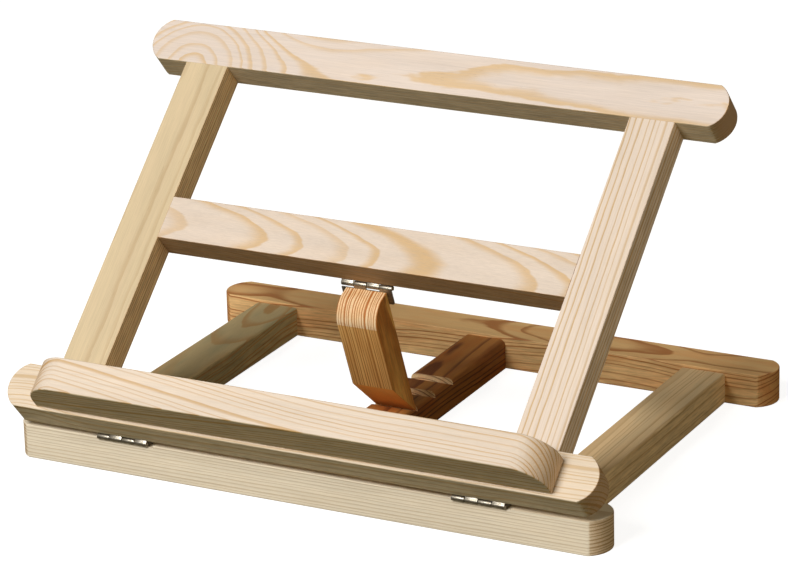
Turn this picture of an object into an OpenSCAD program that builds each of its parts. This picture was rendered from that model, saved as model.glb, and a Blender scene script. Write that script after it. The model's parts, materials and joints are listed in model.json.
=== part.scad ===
// Tabletop easel of pine bars: a flat base, a tilting frame with a ledge, and a strut that
// stands in the notches of the base's centre bar. Millimetres, +Z up, +Y to the rear, origin
// at the middle of the underside of the base.

/* [Base] */
// Width of the easel, along the front bar
easel_w = 400; // [320:5:520]
// Depth of the base, front to rear
base_d = 288; // [268:2:380]
// Width of every base bar
base_bar_w = 30; // [26:1:40]
// Height of the front and rear bars of the base
cross_bar_h = 22; // [20:0.5:30]
// Height of the side and centre bars of the base
side_bar_h = 20; // [19:0.5:28]
// Distance from the easel's end to the side bars and stiles
side_inset = 30; // [20:1:50]
// Rounding along the top edges of the side bars
side_bar_round = 1.5; // [0.5:0.5:6]
// Rounding along the top edges of the centre bar
centre_bar_round = 4; // [1:0.5:6]

/* [Tilting frame] */
// Length of the frame from its bottom edge to its top edge
frame_l = 287; // [250:1:420]
// Thickness of the frame's bars
frame_t = 20; // [16:0.5:26]
// Width of the frame's top and bottom bars
frame_bar_w = 30; // [26:1:40]
// Width of the stiles
stile_w = 30; // [26:1:40]
// Width of the middle rail
rail_w = 30; // [26:1:40]
// Height of the middle rail's lower edge above the frame's bottom edge
rail_u = 129.5; // [115:0.5:135]
// Radius of the rounded bar ends, seen from the front
bar_end_r = 17; // [16:1:30]

/* [Ledge] */
// Length of the ledge
ledge_l = 350; // [240:5:380]
// How far the ledge stands out of the frame
ledge_out = 27; // [18:1:40]
// Width of the ledge, up the frame
ledge_w = 23; // [18:1:26]
// Step between the frame's bottom edge and the ledge
ledge_step = 2; // [0:0.5:4]
// Radius of the ledge's outer corners
ledge_corner_r = 22; // [6:1:24]

/* [Strut and notches] */
// Width of the strut
strut_w = 28; // [20:1:36]
// Thickness of the strut
strut_t = 20; // [14:0.5:24]
// Radius of the strut's upper front corner
strut_corner_r = 14; // [4:1:16]
// Length of the bevel down to the strut's foot
strut_bevel = 34; // [20:1:44]
// Blunt land at the very tip of the foot
strut_land = 0.8; // [0.5:0.1:2]
// Number of notches in the centre bar
notch_count = 4; // [2:1:5]
// Notch that holds the foot, counted from the front
notch_used = 2; // [1:1:3]
// Distance from the front of the base to the first notch's upright face
notch_first = 106; // [100:1:116]
// Distance between notches
notch_pitch = 25; // [16:1:28]
// Depth of a notch
notch_depth = 4.2; // [2.5:0.1:5]
// Length of a notch's slope
notch_slope = 10; // [7:0.5:14]

/* [Hinges] */
// Length of a butt hinge
hinge_l = 35; // [28:1:40]
// Width of one hinge leaf, from the pin's axis
leaf_w = 11; // [9:0.5:14]
// Thickness of a hinge leaf
leaf_t = 1; // [0.8:0.1:1.2]
// Outer radius of a hinge knuckle
knuckle_r = 1.9; // [1.6:0.1:2.4]
// Radius of a hinge pin
pin_r = 1; // [0.8:0.05:1.1]
// Distance from the stiles' inner line to the base hinges
hinge_inset = 1; // [0:1:20]
// How far the pin's axis lies in front of the base's front face
hinge_front = 0.3; // [0:0.1:0.5]
// How far the pin's axis lies below the frame's bottom edge
hinge_drop = 0.8; // [0.5:0.1:1.2]
// Depth of the recess that lets a base hinge into the front bar
hinge_recess = 1.3; // [0:0.1:1.5]
// Length of that recess left free beside the hinge
recess_spare = 3.5; // [0.5:0.5:6]

/* [Fasteners] */
// Radius of a wooden dowel
dowel_r = 4; // [3:0.5:5]
// Length of a wooden dowel
dowel_l = 40; // [24:1:44]
// Distance between the two dowels of a joint
dowel_pitch = 15; // [11:0.5:17]
// Shank diameter of a hinge screw
hinge_screw_d = 2.5; // [2:0.1:3.5]
// Length of a hinge screw
hinge_screw_l = 13; // [8:1:16]
// Distance between the two screws of a hinge leaf
hinge_screw_pitch = 21; // [16:1:24]
// Shank diameter of a ledge screw
ledge_screw_d = 4; // [3:0.5:5]
// Length of a ledge screw
ledge_screw_l = 38; // [28:1:40]
// Distance between ledge screws
ledge_screw_pitch = 90; // [60:5:94]

/* [Clearances] */
// Gap between a knuckle and the wood or leaf that it turns past
knuckle_gap = 0.3; // [0.2:0.05:0.5]
// Radial clearance of the pin in the turning knuckles
pin_play = 0.05; // [0.02:0.01:0.1]
// Gap between the folded strut and the bars above and below it
strut_gap = 0.7; // [0.4:0.1:2]
// Gap between the strut's top and the pin's axis
strut_top_gap = 1.7; // [1.2:0.1:3]
// Gap between the foot and the notch that it stands in
seat_gap = 0.25; // [0.1:0.05:0.5]
// Free depth at each end of a dowel's hole
dowel_end_gap = 1; // [0.5:0.5:2]

/* [Hidden] */
$fn = 64;

pine = [0.87, 0.76, 0.58];
pine_warm = [0.78, 0.60, 0.38];
pine_pale = [0.92, 0.84, 0.70];
beech = [0.80, 0.62, 0.42];
nickel = [0.75, 0.74, 0.71];
steel = [0.66, 0.66, 0.65];

// How far joined shapes run into each other, and cuts run past the wood
overlap = 0.5;
knuckle_count = 4;
side_x = easel_w / 2 - side_inset - base_bar_w / 2;
stile_x = easel_w / 2 - side_inset - stile_w / 2;
hinge_x = easel_w / 2 - side_inset - max(base_bar_w, stile_w) - hinge_inset - hinge_l / 2;
side_bar_l = base_d - 2 * base_bar_w;
stile_l = frame_l - 2 * frame_bar_w;
rail_l = 2 * stile_x - stile_w;

// Height of a pin's axis above the wood that its leaf lies on
pin_rise = knuckle_r + knuckle_gap;
knuckle_l = (hinge_l - (knuckle_count - 1) * knuckle_gap) / knuckle_count;

// The frame's pin axis, as distances from the base's front face and underside
pin_y = -hinge_front;
pin_z = cross_bar_h - hinge_recess + pin_rise;

// The strut's pin axis, up the frame from its bottom edge. It lies pin_rise behind the back face.
strut_pin_u = rail_u - strut_gap;
strut_top_u = strut_pin_u - strut_top_gap;
strut_tip_u = frame_bar_w + strut_gap;

// Where the foot's lowest edge stands, clear of the notch's upright face and of its slope
notch_face_y = notch_first + (notch_used - 1) * notch_pitch;
seat_y = notch_face_y - seat_gap - strut_land;
seat_z = side_bar_h - notch_depth * (1 - (seat_gap + strut_land) / notch_slope) + seat_gap;

// The triangle of frame pin, strut pin and foot gives the frame's tilt and the strut's swing
arm_frame = strut_pin_u + hinge_drop;
arm_strut = norm([strut_pin_u - strut_tip_u, pin_rise + strut_land]);
seat_reach = norm([seat_y - pin_y, seat_z - pin_z]);
tilt = atan2(seat_z - pin_z, seat_y - pin_y)
    + acos((pow(arm_frame, 2) + pow(seat_reach, 2) - pow(arm_strut, 2)) / (2 * arm_frame * seat_reach));
strut_pin_y = pin_y + arm_frame * cos(tilt);
strut_pin_z = pin_z + arm_frame * sin(tilt);
swing = atan2(seat_z - strut_pin_z, seat_y - strut_pin_y)
    - atan2(pin_rise + strut_land, strut_tip_u - strut_pin_u) + 360 - tilt;

// ---- Places ----

// Base pieces are drawn from the middle of the base's front face
module on_base() {
    translate([0, -base_d / 2, 0])
        children();
}

// Frame pieces are drawn lying flat: +Y up the frame, +Z out of its front face, back face at Z 0
module on_frame() {
    on_base()
        translate([0, pin_y, pin_z])
            rotate([tilt, 0, 0])
                translate([0, hinge_drop, pin_rise])
                    children();
}

// Strut pieces are drawn as the strut lies when it is folded into the flat frame
module on_strut() {
    on_frame()
        translate([0, strut_pin_u, -pin_rise])
            rotate([swing, 0, 0])
                translate([0, -strut_pin_u, pin_rise])
                    children();
}

// ---- Shared shapes ----

// Extrudes an outline of [Y, Z] along X, centred
module along_x(length) {
    rotate([90, 0, 90])
        linear_extrude(length, center = true)
            children();
}

// A bar along X with rounded ends, its front lower left edge line at Y 0 and Z 0
module round_ended_bar(length, width, thick) {
    flat_half = length / 2 - bar_end_r + sqrt(pow(bar_end_r, 2) - pow(width / 2, 2));
    linear_extrude(thick)
        translate([0, width / 2]) {
            square([2 * flat_half, width], center = true);
            intersection() {
                square([length + 1, width], center = true);
                for (side = [-1, 1])
                    translate([side * (length / 2 - bar_end_r), 0])
                        circle(bar_end_r);
            }
        }
}

// A bar along Y with its two upper edges rounded, centred on X 0
module round_edged_bar(length, rounding) {
    flat_w = base_bar_w - 2 * rounding;
    translate([0, length, 0])
        rotate([90, 0, 0])
            linear_extrude(length) {
                translate([-base_bar_w / 2, 0])
                    square([base_bar_w, side_bar_h - rounding]);
                translate([-flat_w / 2, 0])
                    square([flat_w, side_bar_h]);
                for (side = [-1, 1])
                    translate([side * flat_w / 2, side_bar_h - rounding])
                        circle(rounding);
            }
}

// Two dowels side by side along X, centred on the joint's face, pointing along Y
module dowel_pair(extra = 0) {
    for (side = [-1, 1])
        translate([side * dowel_pitch / 2, 0, 0])
            rotate([90, 0, 0])
                cylinder(r = dowel_r, h = dowel_l + 2 * extra, center = true);
}

// Two dowels side by side along Y, centred on the joint's face, pointing along X
module dowel_pair_x(extra = 0) {
    rotate([0, 0, 90])
        dowel_pair(extra);
}

// A countersunk screw that points down from Z 0
module screw_body(diameter, length) {
    head_r = diameter;
    rotate_extrude()
        polygon([
            [0, 0],
            [head_r, 0],
            [diameter / 2, -(head_r - diameter / 2)],
            [diameter / 2, -(length - diameter)],
            [0, -length]
        ]);
}

// The same screw with a cross recess
module screw(diameter, length) {
    recess_l = diameter * 1.1;
    recess_w = diameter * 0.2;
    recess_depth = diameter * 0.25;
    difference() {
        screw_body(diameter, length);
        for (turn = [0, 90])
            rotate([0, 0, turn])
                cube([recess_l, recess_w, 2 * recess_depth], center = true);
    }
}

// Copies a child at each hinge screw of a leaf that runs from the pin's axis towards +Y
module at_leaf_screws() {
    for (side = [-1, 1])
        translate([side * hinge_screw_pitch / 2, (knuckle_r + leaf_w) / 2 + knuckle_gap, 0])
            children();
}

// A hinge leaf: pin's axis along X at the origin, plate towards +Y, lying pin_rise below the axis.
// It has every second knuckle, starting with number first.
module hinge_leaf(first, bore_r) {
    step = knuckle_l + knuckle_gap;
    plate_y = knuckle_r + knuckle_gap;
    difference() {
        union() {
            translate([-hinge_l / 2, plate_y, -pin_rise])
                cube([hinge_l, leaf_w - plate_y, leaf_t]);
            for (i = [first : 2 : knuckle_count - 1])
                translate([-hinge_l / 2 + i * step, 0, 0]) {
                    rotate([0, 90, 0])
                        cylinder(r = knuckle_r, h = knuckle_l);
                    translate([0, 0, -pin_rise])
                        cube([knuckle_l, plate_y + overlap, leaf_t]);
                }
        }
        translate([-hinge_l / 2 - 1, 0, 0])
            rotate([0, 90, 0])
                cylinder(r = bore_r, h = hinge_l + 2);
        at_leaf_screws()
            translate([0, 0, leaf_t - pin_rise])
                screw_body(hinge_screw_d, hinge_screw_l);
    }
}

module hinge_pin() {
    rotate([0, 90, 0])
        cylinder(r = pin_r, h = hinge_l, center = true);
}

module leaf_screws() {
    at_leaf_screws()
        translate([0, 0, leaf_t - pin_rise])
            screw(hinge_screw_d, hinge_screw_l);
}

// Screw holes in the wood below a leaf
module leaf_screw_holes() {
    at_leaf_screws()
        translate([0, 0, leaf_t - pin_rise])
            screw_body(hinge_screw_d, hinge_screw_l);
}

// The recess below a leaf, open to the front and a little longer than the hinge at its right
module leaf_recess() {
    translate([-hinge_l / 2 - knuckle_gap, -leaf_w, -pin_rise])
        cube([hinge_l + knuckle_gap + recess_spare, 2 * leaf_w + knuckle_gap, 2 * pin_rise]);
}

// Places a leaf's parts on the base's front bar, plate down
module at_base_hinge(side) {
    translate([side * hinge_x, pin_y, pin_z])
        children();
}

// Places a leaf's parts on the back of the frame's bottom bar, plate against the wood
module at_frame_hinge(side) {
    translate([side * hinge_x, -hinge_drop, -pin_rise])
        mirror([0, 0, 1])
            children();
}

// Places a leaf's parts on the back of the middle rail
module at_rail_hinge() {
    translate([0, strut_pin_u, -pin_rise])
        mirror([0, 0, 1])
            children();
}

// Places a leaf's parts on the back of the strut
module at_strut_hinge() {
    translate([0, strut_pin_u, -pin_rise])
        mirror([0, 0, 1])
            mirror([0, 1, 0])
                children();
}

// ---- Base ----

// Dowels between the cross bars and the bars that run front to rear
module at_base_joints() {
    for (x = [-side_x, 0, side_x])
        for (y = [base_bar_w, base_d - base_bar_w])
            translate([x, y, side_bar_h / 2 - 1])
                children();
}

module base_front_bar() {
    color(pine_pale)
        on_base()
            difference() {
                round_ended_bar(easel_w, base_bar_w, cross_bar_h);
                at_base_joints()
                    dowel_pair(dowel_end_gap);
                for (side = [-1, 1])
                    at_base_hinge(side) {
                        leaf_screw_holes();
                        leaf_recess();
                    }
            }
}

module base_rear_bar() {
    color(pine)
        on_base()
            difference() {
                translate([0, base_d - base_bar_w, 0])
                    round_ended_bar(easel_w, base_bar_w, cross_bar_h);
                at_base_joints()
                    dowel_pair(dowel_end_gap);
            }
}

module base_side_bar(side) {
    color(pine)
        on_base()
            difference() {
                translate([side * side_x, base_bar_w, 0])
                    round_edged_bar(side_bar_l, side_bar_round);
                at_base_joints()
                    dowel_pair(dowel_end_gap);
            }
}

module base_side_bar_left() { base_side_bar(-1); }
module base_side_bar_right() { base_side_bar(1); }

// A notch seen from the side: an upright face at the rear and a slope that rises to the front
module notch_outline() {
    polygon([
        [0, 0],
        [0, 2 * notch_depth],
        [-notch_slope, 2 * notch_depth],
        [-notch_slope, notch_depth]
    ]);
}

module base_notched_bar() {
    color(pine_warm)
        on_base()
            difference() {
                translate([0, base_bar_w, 0])
                    round_edged_bar(side_bar_l, centre_bar_round);
                for (i = [0 : notch_count - 1])
                    translate([0, notch_first + i * notch_pitch, side_bar_h - notch_depth])
                        along_x(base_bar_w + 2)
                            notch_outline();
                at_base_joints()
                    dowel_pair(dowel_end_gap);
            }
}

module base_dowels() {
    color(beech)
        on_base()
            at_base_joints()
                dowel_pair();
}

// ---- Tilting frame ----

module at_stile_joints(side) {
    for (u = [frame_bar_w, frame_l - frame_bar_w])
        translate([side * stile_x, u, frame_t / 2])
            children();
}

module at_rail_joint(side) {
    translate([side * rail_l / 2, rail_u + rail_w / 2, frame_t / 2])
        children();
}

module at_ledge_screws() {
    for (i = [-1 : 1])
        translate([i * ledge_screw_pitch, ledge_step + ledge_w / 2, 0])
            rotate([180, 0, 0])
                children();
}

module frame_bottom_bar() {
    color(pine_pale)
        on_frame()
            difference() {
                round_ended_bar(easel_w, frame_bar_w, frame_t);
                for (side = [-1, 1]) {
                    at_stile_joints(side)
                        dowel_pair(dowel_end_gap);
                    at_frame_hinge(side)
                        leaf_screw_holes();
                }
                at_ledge_screws()
                    screw_body(ledge_screw_d, ledge_screw_l);
            }
}

module frame_top_bar() {
    color(pine_pale)
        on_frame()
            difference() {
                translate([0, frame_l - frame_bar_w, 0])
                    round_ended_bar(easel_w, frame_bar_w, frame_t);
                for (side = [-1, 1])
                    at_stile_joints(side)
                        dowel_pair(dowel_end_gap);
            }
}

module frame_stile(side) {
    color(pine)
        on_frame()
            difference() {
                translate([side * stile_x - stile_w / 2, frame_bar_w, 0])
                    cube([stile_w, stile_l, frame_t]);
                at_stile_joints(side)
                    dowel_pair(dowel_end_gap);
                at_rail_joint(side)
                    dowel_pair_x(dowel_end_gap);
            }
}

module frame_stile_left() { frame_stile(-1); }
module frame_stile_right() { frame_stile(1); }

module frame_middle_rail() {
    color(pine_pale)
        on_frame()
            difference() {
                translate([-rail_l / 2, rail_u, 0])
                    cube([rail_l, rail_w, frame_t]);
                for (side = [-1, 1])
                    at_rail_joint(side)
                        dowel_pair_x(dowel_end_gap);
                at_rail_hinge()
                    leaf_screw_holes();
            }
}

module frame_dowels() {
    color(beech)
        on_frame()
            for (side = [-1, 1]) {
                at_stile_joints(side)
                    dowel_pair();
                at_rail_joint(side)
                    dowel_pair_x();
            }
}

// The ledge's outline seen along the frame: flat against the bar, with rounded outer corners
module ledge_outline() {
    corner_x = ledge_l / 2 - ledge_corner_r;
    translate([-ledge_l / 2, 0])
        square([ledge_l, ledge_out - ledge_corner_r]);
    translate([-corner_x, 0])
        square([2 * corner_x, ledge_out]);
    for (side = [-1, 1])
        translate([side * corner_x, ledge_out - ledge_corner_r])
            intersection() {
                circle(ledge_corner_r);
                translate([-ledge_corner_r, 0])
                    square([2 * ledge_corner_r, ledge_corner_r]);
            }
}

module ledge() {
    color(pine_pale)
        on_frame()
            difference() {
                translate([0, ledge_step + ledge_w, frame_t])
                    rotate([90, 0, 0])
                        linear_extrude(ledge_w)
                            ledge_outline();
                at_ledge_screws()
                    screw_body(ledge_screw_d, ledge_screw_l);
            }
}

module ledge_screws() {
    color(steel)
        on_frame()
            at_ledge_screws()
                screw(ledge_screw_d, ledge_screw_l);
}

// ---- Hinges between base and frame ----

module base_leaf(side) {
    color(nickel)
        on_base()
            at_base_hinge(side)
                hinge_leaf(0, pin_r);
}

module base_leaf_left() { base_leaf(-1); }
module base_leaf_right() { base_leaf(1); }

module frame_leaf(side) {
    color(nickel)
        on_frame()
            at_frame_hinge(side)
                hinge_leaf(1, pin_r + pin_play);
}

module frame_leaf_left() { frame_leaf(-1); }
module frame_leaf_right() { frame_leaf(1); }

module base_pin(side) {
    color(steel)
        on_base()
            at_base_hinge(side)
                hinge_pin();
}

module base_pin_left() { base_pin(-1); }
module base_pin_right() { base_pin(1); }

module base_leaf_screws() {
    color(steel)
        on_base()
            for (side = [-1, 1])
                at_base_hinge(side)
                    leaf_screws();
}

module frame_leaf_screws() {
    color(steel)
        on_frame()
            for (side = [-1, 1])
                at_frame_hinge(side)
                    leaf_screws();
}

// ---- Strut and its hinge ----

module rail_leaf() {
    color(nickel)
        on_frame()
            at_rail_hinge()
                hinge_leaf(0, pin_r);
}

module strut_leaf() {
    color(nickel)
        on_strut()
            at_strut_hinge()
                hinge_leaf(1, pin_r + pin_play);
}

module strut_pin() {
    color(steel)
        on_frame()
            at_rail_hinge()
                hinge_pin();
}

module rail_leaf_screws() {
    color(steel)
        on_frame()
            at_rail_hinge()
                leaf_screws();
}

module strut_leaf_screws() {
    color(steel)
        on_strut()
            at_strut_hinge()
                leaf_screws();
}

// The strut seen from the side, from its tip up to its rounded top
module strut_outline() {
    difference() {
        polygon([
            [strut_tip_u, 0],
            [strut_tip_u, strut_land],
            [strut_tip_u + strut_bevel, strut_t],
            [strut_top_u, strut_t],
            [strut_top_u, 0]
        ]);
        translate([strut_top_u - strut_corner_r, strut_t - strut_corner_r])
            difference() {
                square(strut_corner_r + overlap);
                circle(strut_corner_r);
            }
    }
}

module strut() {
    color(pine_warm)
        on_strut()
            difference() {
                along_x(strut_w)
                    strut_outline();
                at_strut_hinge()
                    leaf_screw_holes();
            }
}

base_front_bar();
base_rear_bar();
base_side_bar_left();
base_side_bar_right();
base_notched_bar();
base_dowels();
frame_bottom_bar();
frame_top_bar();
frame_stile_left();
frame_stile_right();
frame_middle_rail();
frame_dowels();
ledge();
ledge_screws();
base_leaf_left();
base_leaf_right();
frame_leaf_left();
frame_leaf_right();
base_pin_left();
base_pin_right();
base_leaf_screws();
frame_leaf_screws();
rail_leaf();
strut_leaf();
strut_pin();
rail_leaf_screws();
strut_leaf_screws();
strut();
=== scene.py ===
import json
from math import asin, atan2, cos, degrees, pi, radians, sin

import bmesh
import bpy
from mathutils import Matrix, Vector


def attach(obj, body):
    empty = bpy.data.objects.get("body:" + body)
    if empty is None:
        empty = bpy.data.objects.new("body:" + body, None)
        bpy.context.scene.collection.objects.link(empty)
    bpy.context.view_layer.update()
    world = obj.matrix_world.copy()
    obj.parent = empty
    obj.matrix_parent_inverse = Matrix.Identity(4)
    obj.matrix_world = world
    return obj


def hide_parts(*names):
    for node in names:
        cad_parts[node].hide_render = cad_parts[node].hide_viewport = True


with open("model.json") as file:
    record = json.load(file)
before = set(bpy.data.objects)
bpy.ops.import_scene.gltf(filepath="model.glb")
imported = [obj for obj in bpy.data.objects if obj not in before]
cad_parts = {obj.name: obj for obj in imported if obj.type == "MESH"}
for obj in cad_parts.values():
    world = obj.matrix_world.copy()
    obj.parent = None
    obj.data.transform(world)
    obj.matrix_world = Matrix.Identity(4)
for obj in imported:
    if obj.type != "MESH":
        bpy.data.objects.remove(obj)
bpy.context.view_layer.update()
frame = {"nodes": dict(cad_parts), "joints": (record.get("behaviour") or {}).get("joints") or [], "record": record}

MM = 0.001


# ---- The camera ----
# A long lens from a good two metres away, a little to the right of the easel and above it, so that
# its bars run almost parallel.
camera_azimuth, camera_elevation, camera_roll = radians(27.61), radians(19.62), radians(-1.49)
camera_distance, camera_sight = 2.482, 50
camera_sensor, camera_lens = 36, 181.27
camera_aim = Vector((-0.0063, 0, 0.0936))

camera_back = Vector((
    sin(camera_azimuth) * cos(camera_elevation),
    -cos(camera_azimuth) * cos(camera_elevation),
    sin(camera_elevation),
))
camera_side = Vector((0, 0, 1)).cross(camera_back).normalized()
camera_up = camera_back.cross(camera_side)
camera_turn = Matrix((camera_side, camera_up, camera_back)).transposed().to_4x4()


def add_object(name, data):
    """A new object at the origin of the scene."""
    made = bpy.data.objects.new(name, data)
    bpy.context.scene.collection.objects.link(made)
    return made


camera = add_object("camera", bpy.data.cameras.new("camera"))
camera.data.sensor_width = camera_sensor
camera.data.lens = camera_lens
camera.data.clip_end = camera_sight
camera.matrix_world = (
    Matrix.Translation(camera_aim + camera_back * camera_distance)
    @ camera_turn
    @ Matrix.Rotation(camera_roll, 4, "Z")
)
bpy.context.scene.camera = camera
bpy.context.scene.view_settings.view_transform = "Standard"


# ---- The studio ----
# A plain pale floor, one big soft box in front of the easel and above it, a little to the left, a
# weak warm fill from the right, another from behind, and a faint warm light from all around.
lights = {
    "soft_box": dict(at=(-0.42, -1.78, 1.58), size=1.0, power=54, colour=(1.0, 0.975, 0.945), shines=True),
    "side_fill": dict(at=(2.1, -0.5, 0.8), size=1.2, power=8, colour=(1.0, 0.86, 0.62), shines=True),
    "back_fill": dict(at=(-0.7, 2.4, 0.3), size=1.2, power=5, colour=(1.0, 0.92, 0.78), shines=False),
}
lights_aim = Vector((0, 0, 0.08))
room_colour, room_strength = (1.0, 0.93, 0.70, 1), 0.10
floor_reach = 6
floor_bounce, floor_grey, floor_glow_strength = (0.11, 0.088, 0.045, 1), (0.42, 0.42, 0.42, 1), 0.88


def new_material(name):
    """An empty node material with its Principled BSDF and output; returns the material and the shader."""
    made = bpy.data.materials.new(name)
    made.use_nodes = True
    return made, made.node_tree.nodes["Principled BSDF"]


def put(tree, kind, values=None, **settings):
    """Adds a node. A value that is a socket is linked to the input, any other is set on it."""
    made = tree.nodes.new(kind)
    for key, value in settings.items():
        setattr(made, key, value)
    for key, value in (values or {}).items():
        if isinstance(value, bpy.types.NodeSocket):
            tree.links.new(value, made.inputs[key])
        else:
            made.inputs[key].default_value = value
    return made


floor_mesh = bpy.data.meshes.new("floor")
floor_corners = [(x * floor_reach, y * floor_reach, 0) for x, y in ((-1, -1), (1, -1), (1, 1), (-1, 1))]
floor_mesh.from_pydata(floor_corners, [], [(0, 1, 2, 3)])
floor = add_object("floor", floor_mesh)
floor_finish, floor_shader = new_material("floor")
floor_shader.inputs["Base Color"].default_value = floor_bounce
floor_shader.inputs["Roughness"].default_value = 0.9
floor_tree = floor_finish.node_tree
floor_seen = put(floor_tree, "ShaderNodeBsdfDiffuse", {"Color": floor_grey})
floor_glow = put(floor_tree, "ShaderNodeEmission", {"Color": (1, 1, 1, 1), "Strength": floor_glow_strength})
floor_white = put(floor_tree, "ShaderNodeAddShader", {0: floor_seen.outputs[0], 1: floor_glow.outputs[0]})
floor_mix = put(floor_tree, "ShaderNodeMixShader", {
    0: put(floor_tree, "ShaderNodeLightPath").outputs["Is Camera Ray"],
    1: floor_shader.outputs[0],
    2: floor_white.outputs[0],
})
floor_tree.links.new(floor_mix.outputs[0], floor_tree.nodes["Material Output"].inputs["Surface"])
floor_mesh.materials.append(floor_finish)

for name, looks in lights.items():
    light = add_object(name, bpy.data.lights.new(name, "AREA"))
    light.data.shape = "SQUARE"
    light.data.size = looks["size"]
    light.data.energy = looks["power"]
    light.data.color = looks["colour"]
    light.visible_glossy = looks["shines"]
    at = Vector(looks["at"])
    light.matrix_world = (
        Matrix.Translation(at) @ (lights_aim - at).to_track_quat("-Z", "Y").to_matrix().to_4x4()
    )

room = bpy.data.worlds.new("room")
room.use_nodes = True
room_shader = room.node_tree.nodes["Background"]
room_shader.inputs["Color"].default_value = room_colour
room_shader.inputs["Strength"].default_value = room_strength
bpy.context.scene.world = room


# ---- Front bar of the base ----
# A planed pine bar with both ends sawn to an arc and sanded. It lies with its rings flat, so its
# front shows fine level lines. The side and centre bars are dowelled into its back.
front_bar_l, front_bar_w, front_bar_h = 400, 30, 22
front_bar_end_r = 17
base_d = 288
arris = 0.7

# Base pieces are drawn in millimetres from the middle of the base's front face
on_base = Matrix.Translation((0, -base_d / 2 * MM, 0)) @ Matrix.Scale(MM, 4)


def calc(tree, operation, *values):
    """A Math node's result, from sockets or numbers."""
    return put(tree, "ShaderNodeMath", dict(enumerate(values)), operation=operation).outputs[0]


def ramp(tree, value, low, high, to_low=0.0, to_high=1.0):
    """Eases a value from one range to another."""
    made = put(tree, "ShaderNodeMapRange", {
        "Value": value, "From Min": low, "From Max": high, "To Min": to_low, "To Max": to_high,
    }, interpolation_type="SMOOTHSTEP")
    return made.outputs["Result"]


def divided(tree, place, lengths):
    """Millimetre coordinates divided by a length along each axis."""
    shares = [1 / length for length in lengths]
    return put(tree, "ShaderNodeVectorMath", {0: place, 1: shares}, operation="MULTIPLY").outputs[0]


def mottle(tree, place, stretch, seed, detail=2.0, roughness=0.5):
    """Noise on millimetre coordinates, one lump about as large as stretch says along each axis."""
    return put(tree, "ShaderNodeTexNoise", {
        "Vector": divided(tree, place, stretch), "W": seed, "Scale": 1.0, "Detail": detail,
        "Roughness": roughness,
    }, noise_dimensions="4D")


def blend_colour(tree, mix, factor, one, other):
    """Two colours blended as mix says."""
    return put(
        tree, "ShaderNodeMix", {"Factor": factor, "A": one, "B": other}, data_type="RGBA", blend_type=mix,
    ).outputs["Result"]


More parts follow.
